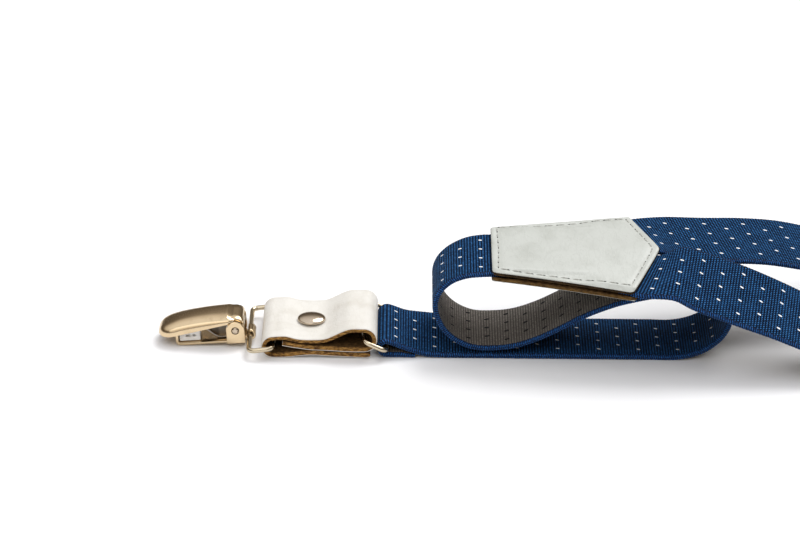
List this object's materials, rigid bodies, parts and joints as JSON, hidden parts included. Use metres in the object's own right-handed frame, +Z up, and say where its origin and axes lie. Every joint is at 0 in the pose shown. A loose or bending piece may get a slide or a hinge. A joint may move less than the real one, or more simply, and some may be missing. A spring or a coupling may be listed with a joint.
{
  "type": "suspenders",
  "caption": "Y-back elastic suspenders with a stitched leather back patch, leather tabs on wire rings, adjusters and hinged metal trouser clips.",
  "frame": {"origin": "on the table under the leather back patch, on the underside of the rear strap's lower run", "axes": "+X from the rear clip towards the front clips, +Z up from the table, +Y to the wearer's left strap"},
  "size_m": [0.5161, 0.1655, 0.0311],
  "materials": {
    "webbing": "navy ribbed elastic webbing with rows of white dashes, grey lining",
    "leather": "off-white grain leather with brown raw edges and flesh side",
    "nickel": "bright nickel plate",
    "nylon": "white moulded nylon"
  },
  "bodies": {
    "straps": {"rear_strap": "webbing", "front_strap_left": "webbing", "front_strap_right": "webbing", "patch_top_leather": "leather", "patch_bottom_leather": "leather"},
    "rear_ring": {"rear_strap_ring": "nickel"},
    "rear_tab": {"rear_leather_tab": "leather", "rear_rivet_cap": "nickel", "rear_rivet_post": "nickel"},
    "rear_loop": {"rear_clip_loop": "nickel"},
    "rear_clip": {"rear_clip_base": "nickel", "rear_clip_pin": "nickel", "rear_clip_lower_pad": "nylon"},
    "rear_jaw": {"rear_clip_spring_jaw": "nickel", "rear_clip_upper_pad": "nylon"},
    "rear_lid": {"rear_clip_lid": "nickel"},
    "left_ring": {"left_strap_ring": "nickel"},
    "left_tab": {"left_leather_tab": "leather", "left_rivet_cap": "nickel", "left_rivet_post": "nickel"},
    "left_loop": {"left_clip_loop": "nickel"},
    "left_clip": {"left_clip_base": "nickel", "left_clip_pin": "nickel", "left_clip_lower_pad": "nylon"},
    "left_jaw": {"left_clip_spring_jaw": "nickel", "left_clip_upper_pad": "nylon"},
    "left_lid": {"left_clip_lid": "nickel"},
    "right_ring": {"right_strap_ring": "nickel"},
    "right_tab": {"right_leather_tab": "leather", "right_rivet_cap": "nickel", "right_rivet_post": "nickel"},
    "right_loop": {"right_clip_loop": "nickel"},
    "right_clip": {"right_clip_base": "nickel", "right_clip_pin": "nickel", "right_clip_lower_pad": "nylon"},
    "right_jaw": {"right_clip_spring_jaw": "nickel", "right_clip_upper_pad": "nylon"},
    "right_lid": {"right_clip_lid": "nickel"},
    "left_adjuster": {"slider_left": "nickel"},
    "right_adjuster": {"slider_right": "nickel"}
  },
  "joints": [
    {"name": "rear_ring_swing", "type": "hinge", "parent": "straps", "child": "rear_ring", "pos_m": [-0.0496, 0, 0.00285], "axis": [0, 1, 0], "range_deg": [-20, 45]},
    {"name": "rear_tab_swing", "type": "hinge", "parent": "rear_ring", "child": "rear_tab", "pos_m": [-0.056, 0, 0.0058], "axis": [0, 1, 0], "range_deg": [-15, 45]},
    {"name": "rear_loop_swing", "type": "hinge", "parent": "rear_tab", "child": "rear_loop", "pos_m": [-0.082, 0, 0.00345], "axis": [0, 1, 0], "range_deg": [-25, 30]},
    {"name": "rear_clip_swing", "type": "hinge", "parent": "rear_loop", "child": "rear_clip", "pos_m": [-0.0889, -0.001, 0.0025], "axis": [0, 1, 0], "range_deg": [-25, 30]},
    {"name": "rear_lid_open", "type": "hinge", "parent": "rear_clip", "child": "rear_lid", "pos_m": [-0.09303, 0, 0.00529], "axis": [0, 1, 0], "range_deg": [0, 70]},
    {"name": "rear_jaw_open", "type": "hinge", "parent": "rear_clip", "child": "rear_jaw", "pos_m": [-0.09622, 0, 0.00244], "axis": [0, 1, 0], "range_deg": [0, 9]},
    {"name": "left_ring_swing", "type": "hinge", "parent": "straps", "child": "left_ring", "pos_m": [0.33351, 0.07345, 0.00285], "axis": [0.1908, -0.9816, 0], "range_deg": [-20, 45]},
    {"name": "left_tab_swing", "type": "hinge", "parent": "left_ring", "child": "left_tab", "pos_m": [0.33979, 0.07468, 0.0058], "axis": [0.1908, -0.9816, 0], "range_deg": [-15, 45]},
    {"name": "left_loop_swing", "type": "hinge", "parent": "left_tab", "child": "left_loop", "pos_m": [0.36531, 0.07964, 0.00345], "axis": [0.1908, -0.9816, 0], "range_deg": [-25, 30]},
    {"name": "left_clip_swing", "type": "hinge", "parent": "left_loop", "child": "left_clip", "pos_m": [0.3719, 0.08193, 0.0025], "axis": [0.1908, -0.9816, 0], "range_deg": [-25, 30]},
    {"name": "left_lid_open", "type": "hinge", "parent": "left_clip", "child": "left_lid", "pos_m": [0.37614, 0.08174, 0.00529], "axis": [0.1908, -0.9816, 0], "range_deg": [0, 70]},
    {"name": "left_jaw_open", "type": "hinge", "parent": "left_clip", "child": "left_jaw", "pos_m": [0.37927, 0.08235, 0.00244], "axis": [0.1908, -0.9816, 0], "range_deg": [0, 9]},
    {"name": "right_ring_swing", "type": "hinge", "parent": "straps", "child": "right_ring", "pos_m": [0.33515, -0.04974, 0.00285], "axis": [-0.1392, -0.9903, 0], "range_deg": [-20, 45]},
    {"name": "right_tab_swing", "type": "hinge", "parent": "right_ring", "child": "right_tab", "pos_m": [0.34149, -0.05063, 0.0058], "axis": [-0.1392, -0.9903, 0], "range_deg": [-15, 45]},
    {"name": "right_loop_swing", "type": "hinge", "parent": "right_tab", "child": "right_loop", "pos_m": [0.36724, -0.05425, 0.00345], "axis": [-0.1392, -0.9903, 0], "range_deg": [-25, 30]},
    {"name": "right_clip_swing", "type": "hinge", "parent": "right_loop", "child": "right_clip", "pos_m": [0.37421, -0.05422, 0.0025], "axis": [-0.1392, -0.9903, 0], "range_deg": [-25, 30]},
    {"name": "right_lid_open", "type": "hinge", "parent": "right_clip", "child": "right_lid", "pos_m": [0.37816, -0.05579, 0.00529], "axis": [-0.1392, -0.9903, 0], "range_deg": [0, 70]},
    {"name": "right_jaw_open", "type": "hinge", "parent": "right_clip", "child": "right_jaw", "pos_m": [0.38131, -0.05623, 0.00244], "axis": [-0.1392, -0.9903, 0], "range_deg": [0, 9]},
    {"name": "left_adjuster_slide", "type": "slide", "parent": "straps", "child": "left_adjuster", "axis": [0.9816, 0.1908, 0], "range_m": [-0.009, 0.009]},
    {"name": "right_adjuster_slide", "type": "slide", "parent": "straps", "child": "right_adjuster", "axis": [0.9903, -0.1392, 0], "range_m": [-0.009, 0.009]}
  ],
  "couplings": [
    {"joint": "rear_jaw_open", "follows": "rear_lid_open", "ratio": 0.1281},
    {"joint": "left_jaw_open", "follows": "left_lid_open", "ratio": 0.1281},
    {"joint": "right_jaw_open", "follows": "right_lid_open", "ratio": 0.1281}
  ]
}
